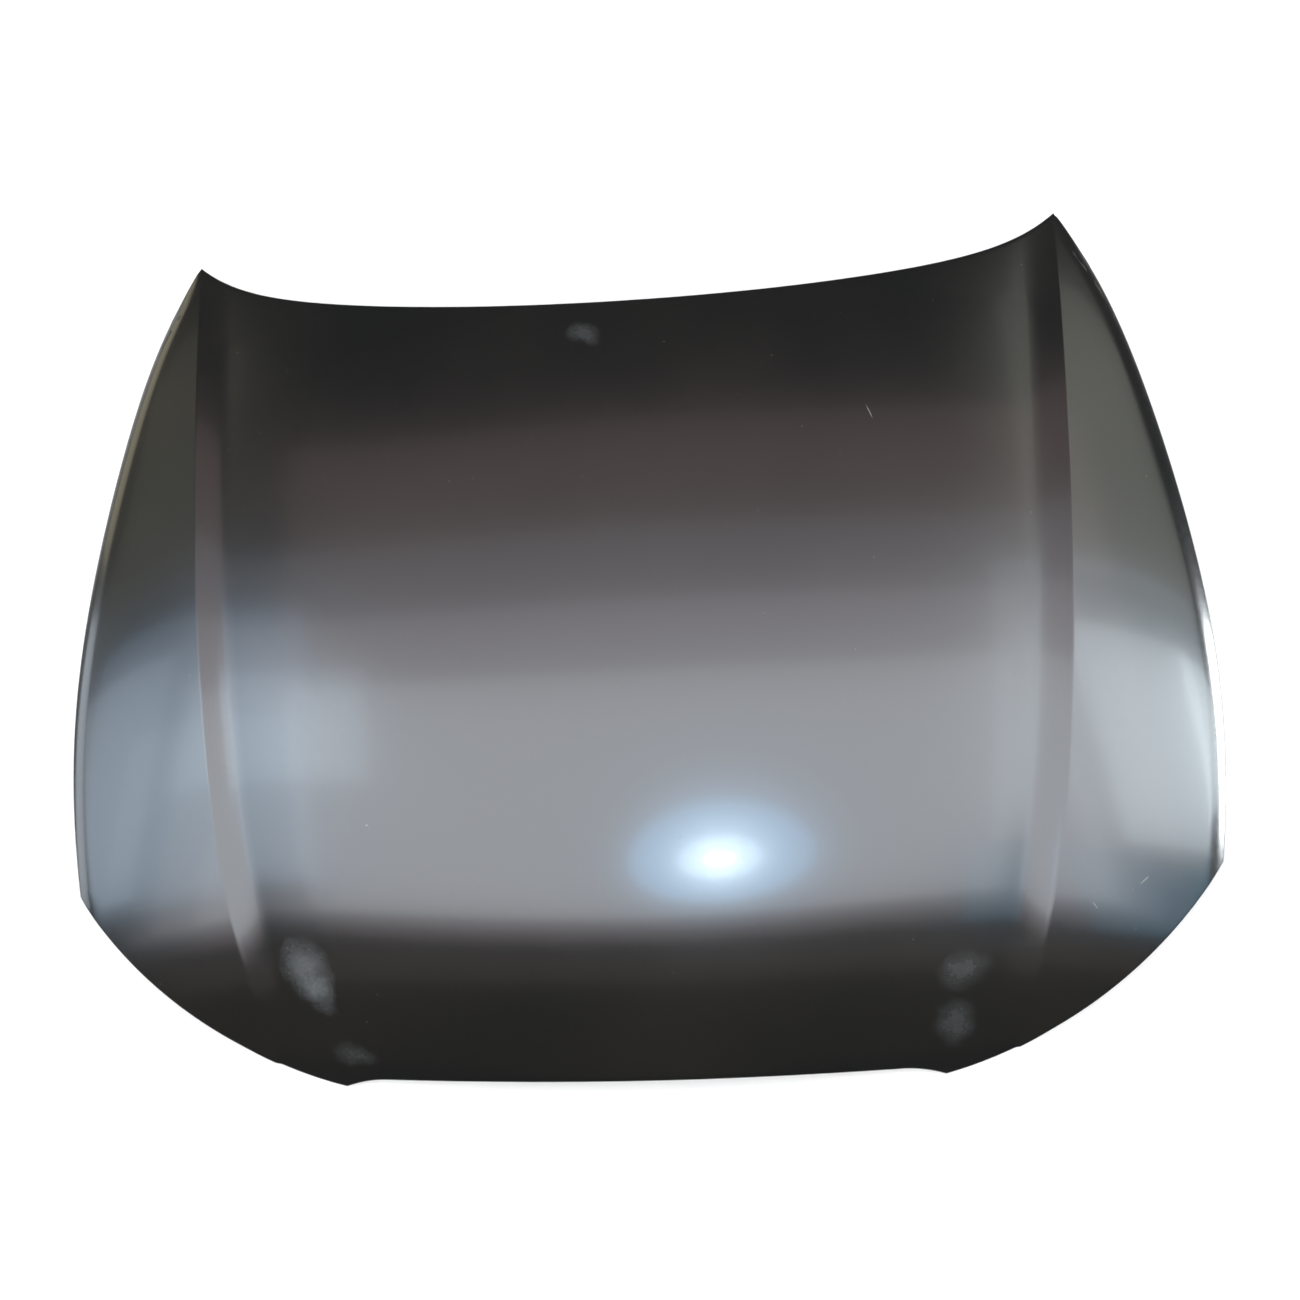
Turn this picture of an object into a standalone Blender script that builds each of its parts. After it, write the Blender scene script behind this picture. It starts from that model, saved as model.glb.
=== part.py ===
"""A car bonnet: a pressed steel skin hemmed round a pressed inner frame, with the pieces welded inside it.

It lies upper side up, as on a floor. X runs across it, Y to the rear and Z up. The origin is on the floor,
under the middle of its length and width. Left and right are those of someone who sits in the car, so
left is +X. While the shapes are made, Y is counted from the front tabs and Z from the rear tips.
"""

import math

import bmesh
import bpy
import numpy as np
from mathutils import Vector
from mathutils.geometry import delaunay_2d_cdt

# Outline, seen from above
LENGTH = 1.155  # from the front tabs to the rear tips
TIP_X = 0.620  # half the distance between the rear tips
REAR_SWEEP = 0.1245  # how far the middle of the rear edge lies ahead of the tips
REAR_ARC_SHARE = 0.68  # part of that sweep in the long arc, with the rest in the hooks at the tips
REAR_HOOK_POWER = 10
CORNER_X = 0.732  # headlamp corner, where the side edge meets the headlamp edge
CORNER_Y = 0.247
SIDE_BULGE = 0.0675  # how far the side edge bows out of the line from tip to corner
SIDE_BULGE_ENDS = 0.022
SIDE_BULGE_SKEW = 0.022
LAMP_BOW_SHARE = 0.66
LAMP_SKEW_SHARE = 0.12
TAB_X = 0.377  # the pointed tab at each end of the front edge
NOTCH_WIDTH = 0.052  # from the tab to where the front edge proper starts
NOTCH_DEPTH = 0.009
FRONT_BOW = 0.0035  # how far the middle of the front edge stands ahead of its ends

# Crease, the sharp line that parts the centre panel from each flank
CREASE_END_X = 0.461
CREASE_STRAIGHT_SHARE = 0.55
CREASE_POWER = 4.4
CREASE_HEIGHT = 0.061
RIDGE_HEIGHT = 0.006  # the centre panel turns up to the crease by this much
RIDGE_WIDTH = 0.045
RIDGE_FADE = 0.135  # length over which this fades out at each end of the crease

# Heights
ARCH_Y = 0.40  # where the long arch is highest
CENTRE_HEIGHT = 0.1115
CENTRE_ARCH = 0.0755  # drop from the highest point to the rear tips
CROWN_STRAIGHTNESS = 2  # 0 is a parabola across the panel, and more straightens it towards the creases
EDGE_RISE = 0.033
EDGE_ARCH = 0.002
NOSE_START = 0.14
NOSE_SLOPE = 0.36
NOSE_BLEND = 0.09
FLANK_ROUNDING_SHARE = 0.25
ROLL_HEIGHT = 0.004  # the flank's last turn down to the side edge
ROLL_WIDTH = 0.025
ROLL_FADE = 0.040  # the roll fades out where the flank is narrower than this

# Sheet metal
SKIN_THICKNESS = 0.0008
FRAME_THICKNESS = 0.0007
HINGE_PLATE_THICKNESS = 0.0015
LATCH_PLATE_THICKNESS = 0.0012
BRACKET_THICKNESS = 0.0020
STRIKER_PLATE_THICKNESS = 0.0025
SEAT_GAP = 0.0003  # between welded or bolted pieces
HEM_GAP = 0.0004  # between the layers of the hem

# Hem
HEM_STACK = 2 * SKIN_THICKNESS + FRAME_THICKNESS + 2 * HEM_GAP
HEM_RADIUS = HEM_STACK / 2
HEM_WIDTH = 0.011
FLANGE_WIDTH = 0.013  # the frame's flat flange, most of it inside the hem
FLANGE_DEPTH = SKIN_THICKNESS + HEM_GAP

# Inner frame
CHANNEL_DEPTH = 0.026  # from the skin's face down to the floor of the frame's channels
SHALLOWEST_CHANNEL = 0.0045
REST_CLEARANCE = 0.006  # the frame stays this far above the rear tips' level
WALL_RUN = 0.012  # width of a channel wall, seen from above
WINDOW_FLANGE = 0.012
WINDOW_FLANGE_DEPTH = 0.0045
WINDOW_RADIUS = 0.022
CENTRE_RIB = 0.070
OUTER_RIB = 0.080
CREASE_RIB = 0.1199  # from the windows to the crease, at the front windows' front end
FRONT_WINDOW_START = 0.215
FRONT_WINDOW_LENGTH = 0.290
CROSS_RIB = 0.085
REAR_RIB = 0.1505  # from the rear windows to the middle of the rear edge
SLOT_START = 0.340
SLOT_LENGTH = 0.400
SLOT_FROM_CREASE = 0.030
SLOT_FRONT_SHARE = 0.441  # part of the room between crease and edge channel that the slot takes
SLOT_REAR_SHARE = 0.859
SLOT_RADIUS_SHARE = 0.45  # most that a slot's corner radius may be of its width

# Hinge mounting, inside each rear corner
HINGE_FROM_TIP = 0.115
HINGE_CLEARANCE = 0.0016  # from the rear channel to the pad
HINGE_PAD_Z = 0.006
HINGE_PAD_WIDTH = 0.070
HINGE_PAD_LENGTH = 0.110
HINGE_BOLT_PITCH = 0.060
HINGE_BOLT_HOLE = 0.0110
PLATE_MARGIN = 0.006  # from the edge of a pad to the plate that lies on it
PLATE_LIP = 0.005  # height and width of a plate's turned-up edge
NUT_ACROSS_FLATS = 0.014
NUT_HEIGHT = 0.0075
NUT_BORE = 0.0068

# Latch mounting, at the front
LATCH_Y = 0.095
LATCH_PAD_Z = 0.040
LATCH_PAD_WIDTH = 0.190
LATCH_PAD_LENGTH = 0.060
LATCH_HOLE = 0.012
LATCH_HOLE_PITCH = 0.130
STRIKER_PLATE_WIDTH = 0.074
STRIKER_PLATE_LENGTH = 0.034
STRIKER_WIRE = 0.008
STRIKER_LEG_PITCH = 0.038
STRIKER_DROP = 0.026
STRIKER_BEND = 0.010

# Gas strut brackets
STRUT_CLEARANCE = 0.0172  # from the outer window's wall to the pad
STRUT_Y = 0.700
STRUT_PAD_DEPTH = 0.028
STRUT_PAD_SIZE = 0.056
BRACKET_WIDTH = 0.044
BRACKET_BASE = 0.036
BRACKET_LEG = 0.024
BRACKET_BEND = 0.002
BRACKET_HOLE = 0.0085

# Mastic between the windows' flanges and the skin
MASTIC_GAP = 0.0005
MASTIC_LENGTH = 0.038
MASTIC_WIDTH = 0.009

# Mesh
ROWS = 24
CORNER_ROW = 18
TAB_SHARE = TAB_X / CREASE_END_X
NOTCH_SHARE = (TAB_X - NOTCH_WIDTH) / CREASE_END_X
RIDGE_SHARES = (0.91, 0.96, 1)
TAB_SHARES = (NOTCH_SHARE, (NOTCH_SHARE + TAB_SHARE) / 2, TAB_SHARE)
CENTRE_SHARES = (*[NOTCH_SHARE * i / 5 for i in range(5)], *TAB_SHARES, *RIDGE_SHARES)
FLANK_SHARES = (0.22, 0.44, 0.66, 0.86, 1)
CORNER_POINTS = 4
POINT_SPACING = 0.055
STEP = 0.0005  # used to measure the surface's slope


def material(name, colour, roughness, metallic):
    made = bpy.data.materials.new(name)
    made.use_nodes = True
    shader = made.node_tree.nodes["Principled BSDF"]
    shader.inputs["Base Color"].default_value = (*colour, 1)
    shader.inputs["Roughness"].default_value = roughness
    shader.inputs["Metallic"].default_value = metallic
    made.diffuse_color = (*colour, 1)
    return made


# The bonnet's outer surface


def lamp_edge_y(x):
    """The headlamp edge, a shallow bow from the tab to the headlamp corner."""
    share = (x - TAB_X) / (CORNER_X - TAB_X)
    return CORNER_Y * share * (1 - (LAMP_BOW_SHARE + LAMP_SKEW_SHARE * share) * (1 - share))


def rear_edge_y(x):
    share = abs(x) / TIP_X
    rise = REAR_ARC_SHARE * share**2 + (1 - REAR_ARC_SHARE) * share**REAR_HOOK_POWER
    return LENGTH - REAR_SWEEP * (1 - rise)


def front_edge_y(x):
    """The front edge, its tabs, and the headlamp edge beyond them."""
    side = abs(x)
    notch_x = TAB_X - NOTCH_WIDTH
    if side > TAB_X:
        return lamp_edge_y(side)
    if side > notch_x:
        return NOTCH_DEPTH * (1 - ((side - notch_x) / NOTCH_WIDTH) ** 2)
    return NOTCH_DEPTH - FRONT_BOW * (1 - (side / notch_x) ** 2)


def side_edge_x(y):
    """The side edge. Ahead of the headlamp corner it runs on as a guide for the flank's shape."""
    run = (LENGTH - y) / (LENGTH - CORNER_Y)
    along = 1 - 2 * run
    bulge = SIDE_BULGE + SIDE_BULGE_ENDS * along**2 + SIDE_BULGE_SKEW * along**3
    return TIP_X + (CORNER_X - TIP_X) * run + 4 * run * (1 - run) * bulge


def crease_x(y):
    run = max(0, (LENGTH - y) / (LENGTH - lamp_edge_y(CREASE_END_X)))
    share = CREASE_STRAIGHT_SHARE * run + (1 - CREASE_STRAIGHT_SHARE) * run**CREASE_POWER
    return TIP_X - (TIP_X - CREASE_END_X) * share


def nose_drop(y):
    ahead = NOSE_START - y
    return NOSE_SLOPE / 2 * (ahead + math.hypot(ahead, NOSE_BLEND))


def crease_height(y):
    return CREASE_HEIGHT * (1 - ((y - ARCH_Y) / (LENGTH - ARCH_Y)) ** 2) - nose_drop(y)


def side_edge_height(y):
    run = (LENGTH - y) / (LENGTH - CORNER_Y)
    return EDGE_RISE * run + 4 * run * (1 - run) * EDGE_ARCH - nose_drop(y)


def crown(share):
    """The centre panel's section: 1 on the centre line and 0 at the crease."""
    end = math.sqrt(1 + CROWN_STRAIGHTNESS)
    return (end - math.sqrt(1 + CROWN_STRAIGHTNESS * share**2)) / (end - 1)


def height(x, y):
    """The skin's face. The centre panel is crowned, and each flank falls from the crease to the side edge."""
    side = abs(x)
    crease = crease_x(y)
    top = crease_height(y)
    if side <= crease:
        centre = CENTRE_HEIGHT - CENTRE_ARCH * ((y - ARCH_Y) / (LENGTH - ARCH_Y)) ** 2 - nose_drop(y)
        near = max(0, 1 - (crease - side) / RIDGE_WIDTH)
        from_end = max(0, min(y - lamp_edge_y(CREASE_END_X), LENGTH - y))
        ridge = RIDGE_HEIGHT * min(1, from_end / RIDGE_FADE)
        return top - ridge + (centre - top + ridge) * crown(side / crease) + ridge * near**2
    flank = max(1e-6, side_edge_x(y) - crease)
    out = (side - crease) / flank
    fall = (1 - FLANK_ROUNDING_SHARE) * out + FLANK_ROUNDING_SHARE * out**3
    roll = max(0, 1 - (1 - out) * flank / min(ROLL_WIDTH, flank))
    return top + (side_edge_height(y) - top) * fall - ROLL_HEIGHT * min(1, flank / ROLL_FADE) * roll**2


def normal(x, y):
    across = height(x + STEP, y) - height(x - STEP, y)
    along = height(x, y + STEP) - height(x, y - STEP)
    return Vector((-across, -along, 2 * STEP)).normalized()


def under_skin(x, y, depth):
    """The point at this depth straight under the skin's face."""
    return Vector((x, y, height(x, y))) - depth * normal(x, y)


# Loops of points, all anticlockwise when seen from above


def grown(loop, by):
    """The loop moved outwards, with its corners kept sharp."""
    moved = []
    for before, point, after in zip(loop[-1:] + loop[:-1], loop, loop[1:] + loop[:1]):
        arriving = (point - before).normalized()
        leaving = (after - point).normalized()
        first = Vector((arriving.y, -arriving.x))
        second = Vector((leaving.y, -leaving.x))
        moved.append(point + by * (first + second) / (1 + first.dot(second)))
    return moved


def clear_of(loop, points, distance):
    """The points that lie at least this far from every side of the loop."""
    starts = np.array([tuple(p) for p in loop])
    sides = np.roll(starts, -1, axis=0) - starts
    kept = []
    for point in points:
        offset = np.array(tuple(point)) - starts
        share = np.clip((offset * sides).sum(axis=1) / (sides**2).sum(axis=1), 0, 1)
        if np.linalg.norm(offset - share[:, None] * sides, axis=1).min() >= distance:
            kept.append(point)
    return kept


def rounded(corners, radius):
    """A polygon with round corners and with extra points along its straight sides."""
    loop = []
    for before, corner, after in zip(corners[-1:] + corners[:-1], corners, corners[1:] + corners[:1]):
        back = (before - corner).normalized()
        on = (after - corner).normalized()
        half = back.angle(on) / 2
        centre = corner + (back + on).normalized() * radius / math.sin(half)
        start = corner + back * radius / math.tan(half) - centre
        for i in range(CORNER_POINTS):
            turn = (math.pi - 2 * half) * i / (CORNER_POINTS - 1)
            loop.append(centre + Vector((
                start.x * math.cos(turn) - start.y * math.sin(turn),
                start.x * math.sin(turn) + start.y * math.cos(turn),
            )))
    return divided(loop)


def divided(loop):
    out = []
    for point, after in zip(loop, loop[1:] + loop[:1]):
        pieces = math.ceil((after - point).length / POINT_SPACING)
        out += [point.lerp(after, i / pieces) for i in range(pieces)]
    return out


def rectangle(x, y, width, length):
    return [Vector((x + i * width / 2, y + j * length / 2)) for i, j in ((-1, -1), (1, -1), (1, 1), (-1, 1))]


def circle(x, y, diameter, points=10):
    turns = [2 * math.pi * i / points for i in range(points)]
    return [Vector((x + diameter / 2 * math.cos(t), y + diameter / 2 * math.sin(t))) for t in turns]


def inside(point, loop):
    crossings = 0
    for a, b in zip(loop, loop[1:] + loop[:1]):
        if (a.y > point.y) != (b.y > point.y):
            crossings += point.x < a.x + (point.y - a.y) / (b.y - a.y) * (b.x - a.x)
    return crossings % 2 == 1


# Outer skin


def row_ends(row):
    """The crease point and the edge point that a row of the mesh joins, on the left flank."""
    run = row / ROWS
    end_y = lamp_edge_y(CREASE_END_X)
    y = LENGTH + (end_y - LENGTH) * run
    if row <= CORNER_ROW:
        edge_y = LENGTH + (CORNER_Y - LENGTH) * row / CORNER_ROW
        edge = Vector((side_edge_x(edge_y), edge_y))
    else:
        x = CORNER_X + (CREASE_END_X - CORNER_X) * (row - CORNER_ROW) / (ROWS - CORNER_ROW)
        edge = Vector((x, lamp_edge_y(x)))
    return Vector((crease_x(y), y)), edge


def mirrored(point, side):
    return Vector((side * point.x, point.y))


def outline():
    """The bonnet's edge, from the left rear tip to the right and round by the front, with its grid keys."""
    last = len(CENTRE_SHARES) - 1
    outer = last + len(FLANK_SHARES)
    front_x = [CREASE_END_X * share for share in CENTRE_SHARES]
    keyed = []
    for column in range(last, -last - 1, -1):
        x = math.copysign(CENTRE_SHARES[abs(column)] * TIP_X, column)
        keyed.append(((0, column), Vector((x, rear_edge_y(x)))))
    for row in range(1, ROWS):
        keyed.append(((row, -outer), mirrored(row_ends(row)[1], -1)))
    for column in range(-last, last + 1):
        x = math.copysign(front_x[abs(column)], column)
        keyed.append(((ROWS, column), Vector((x, front_edge_y(x)))))
    for row in range(ROWS - 1, 0, -1):
        keyed.append(((row, outer), row_ends(row)[1]))
    return keyed


def skin_grid(keyed):
    """Where the skin's points lie, seen from above, with its border already inside the hem's zone."""
    last = len(CENTRE_SHARES) - 1
    border = grown([point for _, point in keyed], -FLANGE_WIDTH - HEM_GAP)
    grid = dict(zip([key for key, _ in keyed], border))
    for row in range(1, ROWS):
        crease, _ = row_ends(row)
        for column, share in enumerate(CENTRE_SHARES):
            rear = rear_edge_y(share * TIP_X)
            front = front_edge_y(share * CREASE_END_X)
            place = Vector((share * crease.x, rear + (front - rear) * row / ROWS))
            for side in (-1, 1):
                grid[row, side * column] = mirrored(place, side)
        for side in (-1, 1):
            edge = grid[row, side * (last + len(FLANK_SHARES))]
            for step, share in enumerate(FLANK_SHARES[:-1], 1):
                grid[row, side * (last + step)] = mirrored(crease, side).lerp(edge, share)
    return grid


def add_rings(mesh, rings, underside=False):
    """Joins rings of as many points, from the inmost out. All diagonals run the same way, so layers nest."""
    for inner, outer in zip(rings, rings[1:]):
        for i in range(len(inner)):
            j = (i + 1) % len(inner)
            for corners in ((outer[j], inner[j], inner[i]), (outer[i], outer[j], inner[i])):
                mesh.faces.new(corners[::-1] if underside else corners)


def add_face_of_skin(mesh, grid, depth):
    """One face of the sheet. Columns of the flank run together at the tip and at the crease's front end."""
    last = len(CENTRE_SHARES) - 1
    outer = last + len(FLANK_SHARES)
    points = {key: mesh.verts.new(under_skin(place.x, place.y, depth)) for key, place in grid.items()}
    for row in range(ROWS):
        for column in range(-outer, outer):
            corners = []
            for r, c in ((row, column), (row + 1, column), (row + 1, column + 1), (row, column + 1)):
                key = (r, max(-last, min(last, c))) if r in (0, ROWS) else (r, c)
                if points[key] not in corners:
                    corners.append(points[key])
            if len(corners) > 2:
                mesh.faces.new(corners if depth == 0 else corners[::-1])
    return points


def make_skin(finish):
    keyed = outline()
    edge = [point for _, point in keyed]
    grid = skin_grid(keyed)
    mesh = bmesh.new()
    face = add_face_of_skin(mesh, grid, 0)
    back = add_face_of_skin(mesh, grid, SKIN_THICKNESS)

    def ring(inset, depth):
        return [mesh.verts.new(under_skin(p.x, p.y, depth)) for p in grown(edge, -inset)]

    shoulder = HEM_RADIUS * (1 - math.sqrt(0.5))
    rim = ring(0, HEM_RADIUS)
    fold = ring(SKIN_THICKNESS, HEM_RADIUS)
    lower_end = ring(HEM_WIDTH, HEM_STACK)
    upper_end = ring(HEM_WIDTH, HEM_STACK - SKIN_THICKNESS)
    add_rings(mesh, [[face[key] for key, _ in keyed], ring(HEM_RADIUS, 0), ring(shoulder, shoulder), rim])
    add_rings(mesh, [[back[key] for key, _ in keyed], ring(HEM_RADIUS, SKIN_THICKNESS), fold], underside=True)
    add_rings(mesh, [upper_end, ring(HEM_RADIUS, HEM_STACK - SKIN_THICKNESS), fold])
    lower = [lower_end, ring(HEM_RADIUS, HEM_STACK), ring(shoulder, HEM_STACK - shoulder), rim]
    add_rings(mesh, lower, underside=True)
    add_rings(mesh, [upper_end, lower_end], underside=True)
    return finished("outer_skin", mesh, finish)


# Pressed sheets


def pressed_sheet(name, edge, bends, holes, thickness, finish, flange=None):
    """A sheet pressed from one blank. Edge, bends and holes are loops of points with their heights.

    A flange is one more loop, with as many points, outside the edge.
    """
    loops = [edge, *bends, *holes]
    points = [point for loop in loops for point in loop]
    sides = []
    start = 0
    for loop in loops:
        sides += [(start + i, start + (i + 1) % len(loop)) for i in range(len(loop))]
        start += len(loop)
    flat, _, faces, origin, _, _ = delaunay_2d_cdt([p.to_2d() for p in points], sides, [], 0, 1e-7)
    mesh = bmesh.new()
    made = [mesh.verts.new(points[sources[0]]) for sources in origin]
    border = [p.to_2d() for p in edge]
    cuts = [[p.to_2d() for p in hole] for hole in holes]
    for corners in faces:
        middle = sum((flat[i] for i in corners), Vector((0, 0))) / len(corners)
        if inside(middle, border) and not any(inside(middle, cut) for cut in cuts):
            mesh.faces.new([made[i] for i in corners])
    if flange:
        corner_of = {source: vertex for vertex, sources in zip(made, origin) for source in sources}
        inner = [corner_of[i] for i in range(len(edge))]
        add_rings(mesh, [inner, [mesh.verts.new(point) for point in flange]])
    for vertex in [v for v in mesh.verts if not v.link_faces]:
        mesh.verts.remove(vertex)
    sheet = finished(name, mesh, finish)
    solid = sheet.modifiers.new("Thickness", "SOLIDIFY")
    solid.thickness = thickness
    solid.offset = -1
    solid.use_even_offset = True
    return sheet


def at_height(loop, z):
    return [Vector((point.x, point.y, z)) for point in loop]


def frame_point(place, depth):
    """A point of the frame's upper face. Its channels are shallower where the bonnet lies near the floor."""
    point = under_skin(place.x, place.y, FLANGE_DEPTH)
    room = max(SHALLOWEST_CHANNEL, height(place.x, place.y) - REST_CLEARANCE)
    point.z -= min(depth, room) - FLANGE_DEPTH
    return point


def at_depth(loop, depth):
    return [frame_point(place, depth) for place in loop]


def windows():
    """Corners of the frame's windows on the left side: two rows of two, which follow the crease."""
    crease = crease_x(FRONT_WINDOW_START)
    width = (crease - CREASE_RIB - OUTER_RIB - CENTRE_RIB / 2) / 2
    front_end = FRONT_WINDOW_START + FRONT_WINDOW_LENGTH
    rows = ((FRONT_WINDOW_START, front_end), (front_end + CROSS_RIB, rear_edge_y(0) - REAR_RIB))
    found = []
    for front, rear in rows:
        for start in (CENTRE_RIB / 2, CENTRE_RIB / 2 + width + OUTER_RIB):
            corners = []
            for x, y in ((start, front), (start + width, front), (start + width, rear), (start, rear)):
                corners.append(Vector((x * crease_x(y) / crease, y)))
            found.append(corners)
    return found


def slot():
    """Corners of the long slot under the left flank, between the crease and the channel along the edge."""
    inner = []
    outer = []
    for y, share in ((SLOT_START, SLOT_FRONT_SHARE), (SLOT_START + SLOT_LENGTH, SLOT_REAR_SHARE)):
        start = crease_x(y) + SLOT_FROM_CREASE
        room = side_edge_x(y) - FLANGE_WIDTH - WALL_RUN - WINDOW_FLANGE - WALL_RUN - start
        inner.append(Vector((start, y)))
        outer.append(Vector((start + share * room, y)))
    return [inner[0], outer[0], outer[1], inner[1]]


def both_sides(corners):
    return corners, [mirrored(corner, -1) for corner in reversed(corners)]


def cut_outs():
    """The windows and slots of both sides, each with its corner radius."""
    side_slot = slot()
    width = min((side_slot[1] - side_slot[0]).length, (side_slot[2] - side_slot[3]).length)
    kinds = [(corners, WINDOW_RADIUS) for corners in windows()]
    kinds.append((side_slot, min(WINDOW_RADIUS, SLOT_RADIUS_SHARE * width)))
    return [(shape, radius) for corners, radius in kinds for shape in both_sides(corners)]


def hinge_place():
    """Middle of the left hinge pad, just ahead of the channel along the rear edge."""
    x = TIP_X - HINGE_FROM_TIP
    edge = rear_edge_y(x - HINGE_PAD_WIDTH / 2)
    return x, edge - FLANGE_WIDTH - WALL_RUN - HINGE_CLEARANCE - HINGE_PAD_LENGTH / 2


def hinge_bolts(side):
    x, y = hinge_place()
    return [(side * x, y + half * HINGE_BOLT_PITCH / 2) for half in (-1, 1)]


def hinge_pad(side):
    x, y = hinge_place()
    return rectangle(side * x, y, HINGE_PAD_WIDTH, HINGE_PAD_LENGTH)


def latch_holes():
    return [(half * LATCH_HOLE_PITCH / 2, LATCH_Y) for half in (-1, 1)]


def strut_x():
    """Middle of the left strut pad, beside the outer rear window."""
    _, front, rear, _ = windows()[-1]
    window = front.lerp(rear, (STRUT_Y + STRUT_PAD_SIZE / 2 - front.y) / (rear.y - front.y)).x
    return window + WINDOW_FLANGE + WALL_RUN + STRUT_CLEARANCE + STRUT_PAD_SIZE / 2


def strut_pad_z():
    return height(strut_x(), STRUT_Y) - STRUT_PAD_DEPTH


def make_frame(finish):
    edge = [point for _, point in outline()]
    holes = []
    channel = FLANGE_WIDTH + WALL_RUN
    bends = [at_depth(clear_of(edge, grown(edge, -channel), channel - STEP), CHANNEL_DEPTH)]
    for shape, radius in cut_outs():
        holes.append(at_depth(rounded(shape, radius), WINDOW_FLANGE_DEPTH))
        for out, depth in ((WINDOW_FLANGE, WINDOW_FLANGE_DEPTH), (WINDOW_FLANGE + WALL_RUN, CHANNEL_DEPTH)):
            bends.append(at_depth(rounded(grown(shape, out), radius + out), depth))
    for side in (-1, 1):
        bends.append(at_height(rounded(hinge_pad(side), PLATE_MARGIN), HINGE_PAD_Z))
        holes += [at_height(circle(x, y, HINGE_BOLT_HOLE), HINGE_PAD_Z) for x, y in hinge_bolts(side)]
        pad = rectangle(side * strut_x(), STRUT_Y, STRUT_PAD_SIZE, STRUT_PAD_SIZE)
        bends.append(at_height(rounded(pad, PLATE_MARGIN), strut_pad_z()))
    pad = rectangle(0, LATCH_Y, LATCH_PAD_WIDTH, LATCH_PAD_LENGTH)
    bends.append(at_height(rounded(pad, PLATE_MARGIN), LATCH_PAD_Z))
    holes += [at_height(circle(x, y, LATCH_HOLE), LATCH_PAD_Z) for x, y in latch_holes()]
    inner, outer = [
        [under_skin(p.x, p.y, FLANGE_DEPTH) for p in grown(edge, -inset)]
        for inset in (FLANGE_WIDTH, HEM_RADIUS + HEM_GAP)
    ]
    return pressed_sheet("inner_frame", inner, bends, holes, FRAME_THICKNESS, finish, flange=outer)


def make_plate(name, corners, hole_loops, z, thickness, finish):
    """A flat plate with its edge turned up, lying on a pad of the frame."""
    shape = grown(corners, -PLATE_MARGIN)
    base = z + SEAT_GAP + thickness
    lip = at_height(rounded(shape, 2 * PLATE_LIP), base + PLATE_LIP)
    bend = at_height(rounded(grown(shape, -PLATE_LIP), PLATE_LIP), base)
    holes = [at_height(loop, base) for loop in hole_loops]
    return pressed_sheet(name, lip, [bend], holes, thickness, finish)


def make_nut(name, x, y, base, finish):
    mesh = bmesh.new()
    rings = []
    for diameter, turn, z in (
        (NUT_BORE, 0, base + NUT_HEIGHT),
        (NUT_ACROSS_FLATS / math.cos(math.pi / 6), 0, base + NUT_HEIGHT),
        (NUT_ACROSS_FLATS / math.cos(math.pi / 6), 0, base),
        (NUT_BORE, 0, base),
    ):
        loop = []
        for i in range(12):
            angle = 2 * math.pi * i / 12
            flat = math.cos(math.pi / 6) / math.cos((angle + math.pi / 6) % (math.pi / 3) - math.pi / 6)
            reach = diameter / 2 * (flat if diameter > NUT_ACROSS_FLATS else 1)
            loop.append(mesh.verts.new((x + reach * math.cos(angle), y + reach * math.sin(angle), z)))
        rings.append(loop)
    add_rings(mesh, [*rings, rings[0]])
    return finished(name, mesh, finish)


def make_striker_plate(finish):
    top = LATCH_PAD_Z - FRAME_THICKNESS - SEAT_GAP
    loop = rounded(rectangle(0, LATCH_Y, STRIKER_PLATE_WIDTH, STRIKER_PLATE_LENGTH), PLATE_MARGIN)
    return pressed_sheet("striker_plate", at_height(loop, top), [], [], STRIKER_PLATE_THICKNESS, finish)


def make_striker_loop(finish):
    """The bent wire that the lock grips, welded to the plate at both ends."""
    top = LATCH_PAD_Z - FRAME_THICKNESS - SEAT_GAP - STRIKER_PLATE_THICKNESS - SEAT_GAP
    half = STRIKER_LEG_PITCH / 2
    bottom = top - STRIKER_DROP
    route = [(-half, top)]
    for side, first in ((-1, math.pi), (1, 1.5 * math.pi)):
        for i in range(7):
            angle = first + math.pi / 2 * i / 6
            route.append((
                side * (half - STRIKER_BEND) + STRIKER_BEND * math.cos(angle),
                bottom + STRIKER_BEND + STRIKER_BEND * math.sin(angle),
            ))
    route.append((half, top))
    curve = bpy.data.curves.new("striker_loop", "CURVE")
    curve.dimensions = "3D"
    curve.bevel_depth = STRIKER_WIRE / 2
    curve.bevel_resolution = 2
    curve.use_fill_caps = True
    spline = curve.splines.new("POLY")
    spline.points.add(len(route) - 1)
    for point, (x, z) in zip(spline.points, route):
        point.co = (x, LATCH_Y, z, 1)
    curve.materials.append(finish)
    wire = bpy.data.objects.new("striker_loop", curve)
    bpy.context.scene.collection.objects.link(wire)
    return wire


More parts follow.
